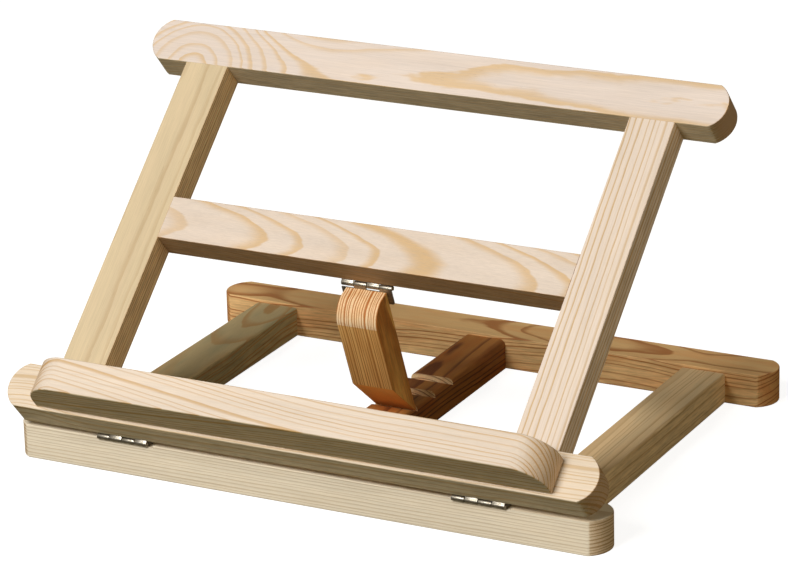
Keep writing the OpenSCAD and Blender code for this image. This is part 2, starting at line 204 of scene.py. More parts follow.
def make_grain():
    """Growth rings of one trunk around an axis along X, in millimetres, with fibres, resin flecks,
    specks and end grain, and painted light and shade on the faces across its Y."""
    tree = bpy.data.node_groups.new("pine grain", "ShaderNodeTree")
    for name, kind, value in (
        ("Place", "NodeSocketVector", None),
        ("Facing", "NodeSocketVector", None),
        ("Ring Width", "NodeSocketFloat", 2.0),
        ("Ring Change", "NodeSocketFloat", 0.8),
        ("Late Share", "NodeSocketFloat", 0.45),
        ("Contrast", "NodeSocketFloat", 1.0),
        ("Wander", "NodeSocketFloat", 2.0),
        ("Wander Length", "NodeSocketFloat", 150.0),
        ("Swell Place", "NodeSocketFloat", 0.0),
        ("Swell Length", "NodeSocketFloat", 50.0),
        ("Swell Height", "NodeSocketFloat", 0.0),
        ("Dip", "NodeSocketFloat", 0.0),
        ("Dip From", "NodeSocketFloat", -100.0),
        ("Dip To", "NodeSocketFloat", 100.0),
        ("Seed", "NodeSocketFloat", 0.0),
        ("Early Wood", "NodeSocketColor", (0.8, 0.6, 0.4, 1)),
        ("Late Wood", "NodeSocketColor", (0.6, 0.35, 0.15, 1)),
        ("Heart Tint", "NodeSocketColor", (0.7, 0.45, 0.25, 1)),
        ("Heart Share", "NodeSocketFloat", 0.2),
        ("Edge Contrast", "NodeSocketFloat", 1.0),
        ("Edge Tone", "NodeSocketColor", (1.0, 1.0, 1.0, 1)),
        ("Edge Streaks", "NodeSocketFloat", 1.0),
        ("End Contrast", "NodeSocketFloat", 1.3),
        ("End Tone", "NodeSocketColor", (0.78, 0.64, 0.50, 1)),
    ):
        socket = tree.interface.new_socket(name, in_out="INPUT", socket_type=kind)
        if value is not None:
            socket.default_value = value
    for name, kind in (
        ("Color", "NodeSocketColor"), ("Roughness", "NodeSocketFloat"), ("Height", "NodeSocketFloat"),
    ):
        tree.interface.new_socket(name, in_out="OUTPUT", socket_type=kind)
    given = tree.nodes.new("NodeGroupInput").outputs
    place, seed = given["Place"], given["Seed"]

    # How long and how wide the things that vary in the wood are, in millimetres
    drift_w, drift_depth, shake_depth = 90.0, 4.0, 0.9
    shake_size, fibre_size, hair_size = (26, 7, 7), (34, 0.55, 0.55), (9, 0.22, 0.22)
    pore_size, fleck_size, speck_size = (0.5, 0.35, 0.35), (5.5, 0.42, 0.42), (34, 19, 19)
    broad_size, blotch_size, streak_size = (130, 16, 16), (46, 9, 9), (15, 1.3, 1.3)
    blotch_seed, streak_seed = 31.0, 57.0
    # Shares of a year at which its late wood starts when it has no width, is darkest and begins to end
    late_from, late_full, late_ends = 0.94, 0.93, 0.925
    weather_rate, weather_depth = 0.37, 3.0

    # The trunk's axis wanders slowly, and swells past a knot
    axes = put(tree, "ShaderNodeSeparateXYZ", {0: place}).outputs
    slow_place = put(tree, "ShaderNodeCombineXYZ", {
        0: calc(tree, "DIVIDE", axes[0], given["Wander Length"]),
        1: calc(tree, "DIVIDE", axes[1], drift_w),
        2: calc(tree, "DIVIDE", axes[2], drift_w),
    }).outputs[0]
    slow = put(tree, "ShaderNodeTexNoise", {
        "Vector": slow_place, "W": seed, "Scale": 1.0, "Detail": 1.0, "Roughness": 0.4,
    }, noise_dimensions="4D")
    drift = put(tree, "ShaderNodeSeparateColor", {0: slow.outputs["Color"]}).outputs
    quick = mottle(tree, place, shake_size, seed)
    shake = put(tree, "ShaderNodeSeparateColor", {0: quick.outputs["Color"]}).outputs
    wide = calc(tree, "MULTIPLY", given["Wander"], drift_depth)
    around = []
    for i in (0, 1):
        far = calc(tree, "MULTIPLY", calc(tree, "SUBTRACT", drift[i], 0.5), wide)
        near = calc(tree, "MULTIPLY", calc(tree, "SUBTRACT", shake[i], 0.5), shake_depth)
        around.append(calc(tree, "ADD", calc(tree, "ADD", axes[i + 1], far), near))
    y, z = around
    past = calc(tree, "DIVIDE", calc(tree, "SUBTRACT", axes[0], given["Swell Place"]), given["Swell Length"])
    bell = calc(tree, "EXPONENT", calc(tree, "MULTIPLY", calc(tree, "MULTIPLY", past, past), -1.0))
    z = calc(tree, "SUBTRACT", z, calc(tree, "MULTIPLY", given["Swell Height"], bell))
    y = calc(tree, "SUBTRACT", y, ramp(tree, axes[0], given["Dip From"], given["Dip To"], 0.0, given["Dip"]))
    radius = calc(tree, "SQRT", calc(tree, "ADD", calc(tree, "MULTIPLY", y, y), calc(tree, "MULTIPLY", z, z)))

    # Years differ in width and in the strength of their late wood
    years = calc(tree, "DIVIDE", radius, given["Ring Width"])
    weather = put(tree, "ShaderNodeTexNoise", {
        "W": calc(tree, "ADD", calc(tree, "MULTIPLY", years, weather_rate), seed),
        "Scale": 1.0, "Detail": 1.0,
    }, noise_dimensions="1D").outputs[0]
    weather_part = calc(tree, "MULTIPLY", given["Ring Change"], weather_depth)
    weather_part = calc(tree, "MULTIPLY", calc(tree, "SUBTRACT", weather, 0.5), weather_part)
    years = calc(tree, "ADD", years, weather_part)
    year = calc(tree, "FLOOR", years)
    season = calc(tree, "FRACT", years)
    strength = put(tree, "ShaderNodeTexWhiteNoise", {
        "W": calc(tree, "ADD", year, calc(tree, "MULTIPLY", seed, 7.0)),
    }, noise_dimensions="1D").outputs["Value"]
    strength = calc(tree, "ADD", calc(tree, "MULTIPLY", strength, 0.5), 0.6)
    rise = put(tree, "ShaderNodeMapRange", {
        "Value": season, "From Min": calc(tree, "SUBTRACT", late_from, given["Late Share"]),
        "From Max": late_full,
    }, interpolation_type="SMOOTHERSTEP").outputs["Result"]
    late = calc(tree, "MULTIPLY", rise, ramp(tree, season, late_ends, 1.0, 1.0, 0.0))

    # Fibres run along the bar; on sawn ends they show as pores
    faced = put(tree, "ShaderNodeSeparateXYZ", {0: given["Facing"]}).outputs
    end = ramp(tree, calc(tree, "ABSOLUTE", faced[0]), 0.25, 0.8)
    edge = ramp(tree, calc(tree, "ABSOLUTE", faced[1]), 0.5, 0.9)
    fibre = mottle(tree, place, fibre_size, seed, 3.0, 0.6).outputs["Fac"]
    hair = mottle(tree, place, hair_size, seed, 2.0, 0.6).outputs["Fac"]
    pores = mottle(tree, place, pore_size, seed, 2.0, 0.7).outputs["Fac"]
    fleck = ramp(tree, mottle(tree, place, fleck_size, seed, 1.0).outputs["Fac"], 0.69, 0.76)
    fleck = calc(tree, "MULTIPLY", fleck, ramp(tree, season, 0.35, 0.8, 0.25, 1.0))
    cells = put(tree, "ShaderNodeTexVoronoi", {
        "Vector": divided(tree, place, speck_size), "W": seed, "Scale": 1.0,
    }, voronoi_dimensions="4D", feature="F1")
    speck = ramp(tree, cells.outputs["Distance"], 0.018, 0.045, 1.0, 0.0)
    broad = mottle(tree, place, broad_size, seed).outputs["Fac"]
    blotch = mottle(tree, place, blotch_size, calc(tree, "ADD", seed, blotch_seed)).outputs["Fac"]
    streak = mottle(tree, place, streak_size, calc(tree, "ADD", seed, streak_seed), 3.0, 0.65).outputs["Fac"]

    # Colour
    late_part = calc(tree, "MULTIPLY", calc(tree, "MULTIPLY", late, strength), given["Contrast"])
    late_part = calc(tree, "MULTIPLY", late_part, ramp(tree, edge, 0.0, 1.0, 1.0, given["Edge Contrast"]))
    late_part = calc(tree, "MULTIPLY", late_part, ramp(tree, end, 0.0, 1.0, 1.0, given["End Contrast"]))
    late_part = calc(tree, "MULTIPLY", late_part, ramp(tree, fibre, 0.2, 0.8, 0.82, 1.12))
    late_part = calc(tree, "MINIMUM", late_part, 1.0)
    heart = calc(tree, "MULTIPLY", ramp(tree, blotch, 0.42, 0.68), given["Heart Share"])
    wood = blend_colour(tree, "MIX", heart, given["Early Wood"], given["Heart Tint"])
    wood = blend_colour(tree, "MIX", late_part, wood, given["Late Wood"])
    # Painted light and shade: faces across Y are multiplied by a tone for how the light falls on them, darker on
    # undersides and edges in shade, lighter on lit sides
    wood = blend_colour(tree, "MULTIPLY", edge, wood, given["Edge Tone"])
    end_wood = blend_colour(tree, "MULTIPLY", 1.0, wood, given["End Tone"])
    wood = blend_colour(tree, "MIX", end, wood, end_wood)
    marks = calc(tree, "MAXIMUM", calc(tree, "MULTIPLY", fleck, 0.30), calc(tree, "MULTIPLY", speck, 0.55))
    wood = blend_colour(tree, "MULTIPLY", marks, wood, (0.42, 0.27, 0.15, 1))
    tone = ramp(tree, fibre, 0.25, 0.75, 0.93, 1.05)
    tone = calc(tree, "ADD", tone, ramp(tree, hair, 0.3, 0.7, -0.03, 0.03))
    tone = calc(tree, "ADD", tone, ramp(tree, broad, 0.3, 0.7, -0.05, 0.04))
    streak_part = calc(tree, "MULTIPLY", edge, given["Edge Streaks"])
    streak_part = calc(tree, "MULTIPLY", streak_part, ramp(tree, streak, 0.32, 0.68, -0.17, 0.15))
    tone = calc(tree, "ADD", tone, streak_part)
    pore_tone = ramp(tree, pores, 0.3, 0.7, 0.82, 1.08)
    tone = calc(tree, "ADD", tone, calc(tree, "MULTIPLY", end, calc(tree, "SUBTRACT", pore_tone, 1.0)))
    wood = put(tree, "ShaderNodeVectorMath", {0: wood, "Scale": tone}, operation="SCALE").outputs[0]

    rough = ramp(tree, fibre, 0.3, 0.7, 0.50, 0.60)
    rough = calc(tree, "ADD", rough, calc(tree, "MULTIPLY", late_part, -0.07))
    rough = calc(tree, "ADD", rough, calc(tree, "MULTIPLY", end, 0.14))
    height = calc(tree, "ADD", calc(tree, "MULTIPLY", late, 0.45), calc(tree, "MULTIPLY", fibre, 0.5))
    height = calc(tree, "ADD", height, calc(tree, "MULTIPLY", hair, 0.25))
    height = calc(tree, "SUBTRACT", height, calc(tree, "MULTIPLY", marks, 0.8))
    height = calc(tree, "ADD", height, calc(tree, "MULTIPLY", calc(tree, "MULTIPLY", end, pores), 0.9))
    put(tree, "NodeGroupOutput", {"Color": wood, "Roughness": rough, "Height": height})
    return tree


pine_grain = make_grain()


def pine(name, drawn_on, axis, slope=(0, 0), along="X", **grain):
    """Pine whose trunk axis passes through the point axis of the drawing, along the bar and turned by
    slope, in degrees, across the bar and out of it."""
    made, shader = new_material(name)
    tree = made.node_tree
    turn = drawn_on.to_3x3().normalized()
    if along == "Y":
        turn = turn @ Matrix.Rotation(pi / 2, 3, "Z")
    turn = turn @ Matrix.Rotation(radians(slope[0]), 3, "Z") @ Matrix.Rotation(radians(-slope[1]), 3, "Y")
    coordinates = put(tree, "ShaderNodeTexCoord")
    place = put(tree, "ShaderNodeMapping", {
        "Vector": coordinates.outputs["Object"],
        "Location": drawn_on @ Vector(axis),
        "Rotation": turn.to_euler("XYZ"),
        "Scale": (MM, MM, MM),
    }, vector_type="TEXTURE")
    facing = put(tree, "ShaderNodeMapping", {
        "Vector": coordinates.outputs["Normal"], "Rotation": turn.to_euler("XYZ"),
    }, vector_type="TEXTURE")
    rings = put(tree, "ShaderNodeGroup", node_tree=pine_grain)
    tree.links.new(place.outputs[0], rings.inputs["Place"])
    tree.links.new(facing.outputs[0], rings.inputs["Facing"])
    for key, value in grain.items():
        if isinstance(value, tuple):
            value = (*value, 1)
        rings.inputs[key.replace("_", " ").title()].default_value = value
    relief = put(tree, "ShaderNodeBump", {
        "Height": rings.outputs["Height"], "Strength": 0.35, "Distance": 0.0002})
    tree.links.new(rings.outputs["Color"], shader.inputs["Base Color"])
    tree.links.new(rings.outputs["Roughness"], shader.inputs["Roughness"])
    tree.links.new(relief.outputs[0], shader.inputs["Normal"])
    shader.inputs["Specular IOR Level"].default_value = 0.3
    return made


def extrude(outline, low, high, axis="Z"):
    """A bmesh of an outline given counterclockwise, extruded along an axis. The outline's two
    directions are the axes that follow that one in X Y Z X Y order."""
    made = bmesh.new()
    turned = {"X": (2, 0, 1), "Y": (1, 2, 0), "Z": (0, 1, 2)}[axis]
    rings = []
    for level in (low, high):
        rings.append([made.verts.new([(a, b, level)[i] for i in turned]) for a, b in outline])
    count = len(outline)
    made.faces.new(rings[1])
    made.faces.new(rings[0][::-1])
    for i in range(count):
        j = (i + 1) % count
        made.faces.new((rings[0][i], rings[0][j], rings[1][j], rings[1][i]))
    return made


def arc(centre_a, centre_b, radius, start, stop, steps):
    """Points on an arc, angles in degrees."""
    angles = [radians(start + (stop - start) * i / steps) for i in range(steps + 1)]
    return [(centre_a + radius * cos(angle), centre_b + radius * sin(angle)) for angle in angles]


def evaluated_mesh(holder):
    """The mesh that an object has after its modifiers."""
    bpy.context.view_layer.update()
    return bpy.data.meshes.new_from_object(holder.evaluated_get(bpy.context.evaluated_depsgraph_get()))


def sawn(blank, cuts):
    """Takes a list of cuts, as bmeshes, out of a drawn bar."""
    solids = []
    for name, parts in (("blank", [blank]), ("cuts", cuts)):
        whole = bmesh.new()
        for part in parts:
            part_mesh = bpy.data.meshes.new("part")
            part.to_mesh(part_mesh)
            part.free()
            whole.from_mesh(part_mesh)
            bpy.data.meshes.remove(part_mesh)
        mesh = bpy.data.meshes.new(name)
        whole.to_mesh(mesh)
        whole.free()
        solids.append(add_object(name, mesh))
    cutting = solids[0].modifiers.new("cuts", "BOOLEAN")
    cutting.object = solids[1]
    cutting.operation = "DIFFERENCE"
    cutting.solver = "EXACT"
    left = evaluated_mesh(solids[0])
    made = bmesh.new()
    made.from_mesh(left)
    bmesh.ops.remove_doubles(made, verts=made.verts, dist=0.001)
    bpy.data.meshes.remove(left)
    for solid in solids:
        mesh = solid.data
        bpy.data.objects.remove(solid)
        bpy.data.meshes.remove(mesh)
    return made


def bar_object(
    made, name, drawn_on, finish, body, node, softened=arris, butts=(), crease=35, keen=None,
):
    """Turns a drawn bar into a finished piece: arrises softened but for those at butt joints, which
    are given as (axis number, value), and much less where keen says so."""
    made.normal_update()
    weights = made.edges.layers.float.new("bevel_weight_edge")
    for edge in made.edges:
        angle = degrees(edge.calc_face_angle(0))
        ends = [v.co for v in edge.verts]
        butted = any(all(abs(end[axis] - value) < 0.01 for end in ends) for axis, value in butts)
        edge[weights] = 1.0 if angle > crease and not butted else 0.0
        if keen and edge[weights] and keen((ends[0] + ends[1]) / 2):
            edge[weights] = 0.25
        edge.smooth = angle < 20 or edge[weights] > 0
    for face in made.faces:
        face.smooth = True
    mesh = bpy.data.meshes.new(name)
    made.to_mesh(mesh)
    made.free()
    mesh.transform(drawn_on)
    mesh.materials.append(finish)
    piece = add_object(name, mesh)
    rounding = piece.modifiers.new("arris", "BEVEL")
    rounding.limit_method = "WEIGHT"
    rounding.width = softened * MM
    rounding.segments = 3
    shading = piece.modifiers.new("flat faces", "WEIGHTED_NORMAL")
    shading.keep_sharp = True
    shading.weight = 100
    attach(piece, body)
    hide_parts(node)
    return piece


def round_ended(length, width, end_r):
    """The outline of a bar along the first direction whose ends are sawn to an arc."""
    lean = degrees(asin(width / 2 / end_r))
    right = arc(length / 2 - end_r, width / 2, end_r, -lean, lean, steps=20)
    left = arc(-length / 2 + end_r, width / 2, end_r, 180 - lean, 180 + lean, steps=20)
    return right + left


# Both hinges are let into its top, in recesses pared a little longer than the leaf
hinge_x, hinge_l, leaf_w, hinge_front = 121.5, 35, 11, 0.3
recess_depth, recess_spare, recess_gap = 1.3, 3.5, 0.3
cut_spare = 5
recesses = []
for x in (-hinge_x, hinge_x):
    left, right = x - hinge_l / 2 - recess_gap, x + hinge_l / 2 + recess_spare
    front, back = -hinge_front - leaf_w, -hinge_front + leaf_w + recess_gap
    recesses.append(extrude([(left, front), (right, front), (right, back), (left, back)],
                            front_bar_h - recess_depth, front_bar_h + cut_spare))


def in_recess(middle):
    """Whether an edge of the front bar belongs to a hinge's recess."""
    beside = min(abs(middle.x - x) for x in (-hinge_x, hinge_x))
    bottom, half, back = front_bar_h - recess_depth, hinge_l / 2 + recess_spare, leaf_w + recess_gap
    return middle.z > bottom - 0.1 and beside < half + 0.1 and middle.y < back + 0.1


bar_object(
    sawn(extrude(round_ended(front_bar_l, front_bar_w, front_bar_end_r), 0, front_bar_h), recesses),
    "front_bar", on_base,
    pine("front bar pine", on_base, (0, 9, -62), slope=(0, 0.15),
         ring_width=2.0, ring_change=0.35, late_share=0.5, contrast=0.66, wander=0.5, wander_length=260,
         edge_streaks=0.15, seed=3.1,
         early_wood=(0.86, 0.77, 0.605), late_wood=(0.54, 0.41, 0.25), heart_tint=(0.86, 0.72, 0.52),
         end_contrast=3.5, end_tone=(0.86, 0.74, 0.62)),
    "base", "base_front_bar", keen=in_recess,
)


# ---- Rear bar of the base ----
# The same bar from a livelier board: flames on its top, wavy lines on its front and a few bold rings
# on its ends.
rear_bar_y = base_d - front_bar_w
rear_bar_outline = [(x, y + rear_bar_y) for x, y in round_ended(front_bar_l, front_bar_w, front_bar_end_r)]
bar_object(
    extrude(rear_bar_outline, 0, front_bar_h),
    "rear_bar", on_base,
    pine("rear bar pine", on_base, (0, 276, -30), slope=(0, 1.6),
         ring_width=3.6, ring_change=0.7, late_share=0.4, contrast=1.15, wander=2.8, wander_length=70,
         swell_place=60, swell_length=60, swell_height=6, seed=8.4,
         early_wood=(0.84, 0.54, 0.245), late_wood=(0.50, 0.21, 0.07), heart_tint=(0.80, 0.37, 0.13),
         heart_share=0.45, edge_contrast=1.2, end_contrast=1.8, end_tone=(0.8, 0.64, 0.50)),
    "base", "base_rear_bar",
)


# ---- Side bars of the base ----
# Two slightly lower bars between the front and rear bars, glued on two dowels at each end, with the
# upper arrises rounded over along their whole length.
side_bar_w, side_bar_h, side_bar_l = 30, 20, 228
side_bar_from, side_bar_x = 30, 155
side_bar_round, centre_bar_round = 1.5, 4


def round_over(x, r):
    """The section of a bar with upper arrises rounded to r, as [Z, X] around its middle x."""
    half = side_bar_w / 2
    left = [(z, -a) for a, z in arc(half - r, side_bar_h - r, r, 90, 0, steps=8)]
    right = [(z, a) for a, z in arc(half - r, side_bar_h - r, r, 0, 90, steps=8)]
    return [(z, a + x) for z, a in [(0, -half)] + [(0, half)] + right + left]


side_bar_butts = ((1, side_bar_from), (1, side_bar_from + side_bar_l))
side_bar_looks = {
    "left": dict(
        axis=(-152, 144, -36), slope=(2, 3.4), ring_width=3.2, ring_change=0.9, late_share=0.5,
        contrast=0.8, wander=3.2, wander_length=80, seed=5.7,
        early_wood=(0.60, 0.47, 0.25), late_wood=(0.50, 0.25, 0.08), heart_tint=(0.45, 0.40, 0.23),
        heart_share=0.75, edge_contrast=1.3),
    "right": dict(
        axis=(120, 144, -30), slope=(0.6, 0.4), ring_width=2.6, ring_change=0.9, late_share=0.4,
        contrast=0.85, wander=1.2, wander_length=150, seed=6.3,
        early_wood=(0.82, 0.60, 0.34), late_wood=(0.52, 0.32, 0.14), heart_tint=(0.68, 0.54, 0.33),
        heart_share=0.5, edge_contrast=1.1),
}
for side, x in (("left", -side_bar_x), ("right", side_bar_x)):
    bar_object(
        extrude(round_over(x, side_bar_round), side_bar_from, side_bar_from + side_bar_l, "Y"),
        f"side_bar_{side}", on_base,
        pine(f"{side} side bar pine", on_base, along="Y", **side_bar_looks[side]),
        "base", f"base_side_bar_{side}", butts=side_bar_butts,
    )


# ---- Centre bar with its notches ----
# A side bar of redder pine with four ratchet notches sawn across its top for the strut's
# foot. Its wood colours are darkened as painted shade for the middle rail's shadow. The saw leaves
# end grain on the notches' upright faces, and the end tone lifts these lit faces back to bright wood
# as painted light.
notch_first, notch_pitch, notch_number = 106, 25, 4
notch_depth, notch_slope = 4.2, 10

# Painted shade: these wood colours are darkened for the rail's shadow, and the edge tone darkens the sides. The
# end tone brightens the lit upright notch faces as painted light.
centre_shaded_finish = pine(
    "centre bar pine, painted shade", on_base, (-6, 144, -14), slope=(0.5, -1.2), along="Y",
    ring_width=3.2, ring_change=0.8, late_share=0.42, contrast=1.1, wander=1.6, wander_length=110, seed=2.2,
    early_wood=(0.43, 0.18, 0.045), late_wood=(0.13, 0.032, 0.008), heart_tint=(0.38, 0.11, 0.022),
    heart_share=0.6, edge_contrast=1.2, edge_tone=(0.66, 0.58, 0.46),
    end_contrast=0.9, end_tone=(2.0, 3.5, 7.6),
)
notches = []
notch_reach = side_bar_w / 2 + cut_spare
for i in range(notch_number):
    y, z = notch_first + i * notch_pitch, side_bar_h - notch_depth
    above = z + 2 * notch_depth
    notches.append(extrude(
        [(y, z), (y, above), (y - notch_slope, above), (y - notch_slope, z + notch_depth)],
        -notch_reach, notch_reach, "X"))
bar_object(
    sawn(extrude(round_over(0, centre_bar_round), side_bar_from, side_bar_from + side_bar_l, "Y"), notches),
    "centre_bar", on_base, centre_shaded_finish, "base", "base_notched_bar",
    softened=0.25, butts=side_bar_butts, crease=28,
)


# ---- Frame's bottom bar ----
# The lowest bar of the tilting frame, sawn to the same arcs. Hinges join its back to the base, and
# the ledge is screwed on from behind.
lift_pin = Vector(next(j["pos_m"] for j in frame["joints"] if j["name"] == "frame_lift"))
frame_front = next(m["axis"] for m in frame["record"]["mounts"] if m["name"] == "picture_back")
frame_tilt = atan2(-frame_front[1], frame_front[2])
hinge_drop, pin_rise = 0.8, 2.2
frame_bar_w, frame_t = 30, 20

# Frame pieces are drawn lying flat: X along the bars, Y up the frame, Z out of its front
on_frame = (
    Matrix.Translation(lift_pin)
    @ Matrix.Rotation(frame_tilt, 4, "X")
    @ Matrix.Scale(MM, 4)
    @ Matrix.Translation((0, hinge_drop, pin_rise))
)
# Its edge tone darkens the underside and top edge as painted shade.
bar_object(
    extrude(round_ended(front_bar_l, frame_bar_w, front_bar_end_r), 0, frame_t),
    "bottom_bar", on_frame,
    pine("bottom bar pine", on_frame, (0, -40, -10), slope=(0.6, 0.3),
         ring_width=2.6, ring_change=0.6, late_share=0.42, contrast=1.15, wander=0.8, wander_length=60,
         swell_place=-182, swell_length=26, swell_height=9, seed=4.4,
         early_wood=(0.79, 0.665, 0.52), late_wood=(0.66, 0.47, 0.26), heart_tint=(0.80, 0.62, 0.43),
         edge_contrast=1.0, edge_tone=(0.90, 0.92, 0.78), end_contrast=1.8),
    "frame", "frame_bottom_bar",
)


# ---- Frame's top bar ----
# A flat-sawn bar: nested arches over a knot at its left end, then one broad flame to the right. It
# has the bottom bar's shape and closes the frame.
frame_l = 287
top_bar_y = frame_l - frame_bar_w
top_bar_outline = [(x, y + top_bar_y) for x, y in round_ended(front_bar_l, frame_bar_w, front_bar_end_r)]
# Its edge tone darkens the underside and top edge as painted shade.
bar_object(
    extrude(top_bar_outline, 0, frame_t),
    "top_bar", on_frame,
    pine("top bar pine", on_frame, (0, 255, -72), slope=(0, 0.3),
         ring_width=1.9, ring_change=0.5, late_share=0.5, contrast=0.9, wander=0.8, wander_length=150,
         swell_place=-166, swell_length=46, swell_height=13, dip=16, dip_from=-110, dip_to=60, seed=1.3,
         early_wood=(0.78, 0.675, 0.60), late_wood=(0.73, 0.53, 0.32), heart_tint=(0.80, 0.64, 0.50),
         edge_contrast=1.6, edge_tone=(0.84, 0.84, 0.66), end_contrast=2.2, end_tone=(0.72, 0.58, 0.42)),
    "frame", "frame_top_bar",
)


# ---- Stiles ----
# The frame's two uprights, dowelled between the bottom and top bars. The left one is fine and even,
# the right one shows eight straight stripes.
stile_w, stile_x = 30, 155
stile_butts = ((1, frame_bar_w), (1, top_bar_y))
# The edge tones brighten the stiles' sides as painted light.
stile_looks = {
    "left": dict(
        axis=(-176, 144, -110), slope=(0.25, 0.1), ring_width=2.1, ring_change=0.5, late_share=0.38,
        contrast=0.32, wander=0.3, wander_length=200, seed=9.2,
        early_wood=(0.67, 0.54, 0.345), late_wood=(0.42, 0.26, 0.11), heart_tint=(0.72, 0.57, 0.37),
        heart_share=0.4, edge_contrast=5.0, edge_tone=(1.55, 1.45, 1.4)),
    "right": dict(
        axis=(85, 144, -70), slope=(0.9, 0.0), ring_width=2.6, ring_change=0.4, late_share=0.34,
        contrast=1.1, wander=0.5, wander_length=220, seed=7.5,
        early_wood=(0.78, 0.665, 0.565), late_wood=(0.60, 0.41, 0.215), heart_tint=(0.79, 0.63, 0.45),
        edge_contrast=2.6, edge_tone=(1.2, 1.15, 1.1)),
}
for side, x in (("left", -stile_x), ("right", stile_x)):
    left, right = x - stile_w / 2, x + stile_w / 2
    bar_object(
        extrude([(0, left), (0, right), (frame_t, right), (frame_t, left)], frame_bar_w, top_bar_y, "Y"),
        f"stile_{side}", on_frame,
        pine(f"{side} stile pine", on_frame, along="Y", **stile_looks[side]),
        "frame", f"frame_stile_{side}", butts=stile_butts,
    )


# ---- Middle rail ----
# Dowelled between the stiles at mid height, with broad honey-coloured flames on its front. It
# carries the strut's hinge on its lower back edge.
rail_l, rail_u, rail_w = 280, 129.5, 30
# Its edge tone darkens the underside and top edge as painted shade.
bar_object(
    extrude([(rail_u, 0), (rail_u + rail_w, 0), (rail_u + rail_w, frame_t), (rail_u, frame_t)],
            -rail_l / 2, rail_l / 2, "X"),
    "middle_rail", on_frame,
    pine("middle rail pine", on_frame, (0, 137, -40), slope=(-1.2, -4.2),
         ring_width=2.7, ring_change=0.5, late_share=0.45, contrast=0.9, wander=0.7, wander_length=120,
         seed=5.1,
         early_wood=(0.74, 0.63, 0.535), late_wood=(0.67, 0.465, 0.255), heart_tint=(0.76, 0.59, 0.44),
         edge_contrast=1.5, edge_tone=(0.62, 0.48, 0.30)),
    "frame", "frame_middle_rail", butts=((0, -rail_l / 2), (0, rail_l / 2)),
)


# ---- Ledge ----
# The shelf that holds a book or a panel: a pine strip with its outer corners rounded, fixed flat
# against the bottom bar, with long slanting lines on its face.
ledge_l, ledge_out, ledge_w, ledge_step = 350, 27, 23, 2
ledge_corner_r = 22
ledge_corner_x = ledge_l / 2 - ledge_corner_r
ledge_back = frame_t
ledge_outline = [(-ledge_l / 2, ledge_back), (ledge_l / 2, ledge_back)]
ledge_corner_z = ledge_back + ledge_out - ledge_corner_r
ledge_outline += arc(ledge_corner_x, ledge_corner_z, ledge_corner_r, 0, 90, steps=20)
ledge_outline += arc(-ledge_corner_x, ledge_corner_z, ledge_corner_r, 90, 180, steps=20)
# Its edge tone darkens the underside and top face as painted shade.
bar_object(
    extrude([(z, x) for x, z in ledge_outline[::-1]], ledge_step, ledge_step + ledge_w, "Y"),
    "ledge", on_frame,
    pine("ledge pine", on_frame, (0, -40, 100), slope=(-0.6, 0.2),
         ring_width=2.8, ring_change=0.4, late_share=0.38, contrast=0.8, wander=0.8, wander_length=200,
         dip=-24, dip_from=-220, dip_to=70, seed=2.9,
         early_wood=(0.76, 0.65, 0.54), late_wood=(0.60, 0.39, 0.185), heart_tint=(0.77, 0.60, 0.45),
         edge_contrast=2.0, edge_tone=(0.82, 0.80, 0.58), end_contrast=2.2, end_tone=(0.95, 0.86, 0.74)),
    "frame", "ledge", softened=1.0,
)


# ---- Strut ----
# A short prop of resinous, reddish pine. Its top is rounded to clear the rail and its foot is bevelled
# to a blunt edge that stands in a notch. It swings on one hinge under the middle rail.
strut_pin_place = Vector(next(j["pos_m"] for j in frame["joints"] if j["name"] == "strut_swing"))
strut_swing = radians(70.0116)
strut_w, strut_t, strut_corner_r, strut_bevel, strut_land = 28, 20, 14, 34, 0.8
strut_pin_u = 128.8
strut_top_u, strut_tip_u = 127.1, 30.7

# Strut pieces are drawn as it lies folded into the flat frame
on_strut = (
    Matrix.Translation(strut_pin_place)
    @ Matrix.Rotation(frame_tilt + strut_swing, 4, "X")
    @ Matrix.Scale(MM, 4)
    @ Matrix.Translation((0, -strut_pin_u, pin_rise))
)
strut_outline = [(strut_tip_u, strut_land), (strut_tip_u, 0), (strut_top_u, 0)]
strut_outline += arc(strut_top_u - strut_corner_r, strut_t - strut_corner_r, strut_corner_r, 0, 90, steps=16)
strut_outline += [(strut_tip_u + strut_bevel, strut_t)]
strut_board = dict(
    axis=(-118, 80, 12), slope=(0.3, 0.0), along="Y", ring_width=1.75, ring_change=0.6, late_share=0.6,
    wander=0.4, wander_length=120, seed=6.8, end_tone=(1.0, 0.9, 0.8))
# The edge tone brightens the strut's sides as painted light.
strut = bar_object(
    extrude(strut_outline, -strut_w / 2, strut_w / 2, "X"),
    "strut", on_strut,
    pine("strut pine, sawn", on_strut, contrast=1.25,
         early_wood=(0.86, 0.52, 0.18), late_wood=(0.42, 0.165, 0.035), heart_tint=(0.60, 0.29, 0.08),
         heart_share=0.6, edge_contrast=0.8, edge_tone=(1.4, 1.3, 1.1), **strut_board),
    "strut", "strut", softened=0.5,
)
# The rounded top is sanded and the bevel freshly sawn; the top's brighter copy of the pine is a painted highlight,
# and the bevel's redder copy is painted light for the warm light it gets from below
strut.data.materials.append(pine(
    "strut pine, painted highlight", on_strut, contrast=1.35,
    early_wood=(0.94, 0.74, 0.48), late_wood=(0.50, 0.19, 0.045), heart_tint=(0.88, 0.56, 0.26),
    heart_share=0.4, edge_contrast=1.2, **strut_board))
strut.data.materials.append(pine(
    "strut pine, painted bevel light", on_strut, contrast=0.25,
    early_wood=(0.80, 0.31, 0.06), late_wood=(0.66, 0.22, 0.04), heart_tint=(0.80, 0.36, 0.09),
    heart_share=0.5, **strut_board))
painted_highlight_top, bounce_lit_bevel = 1, 2
to_strut = on_strut.inverted()
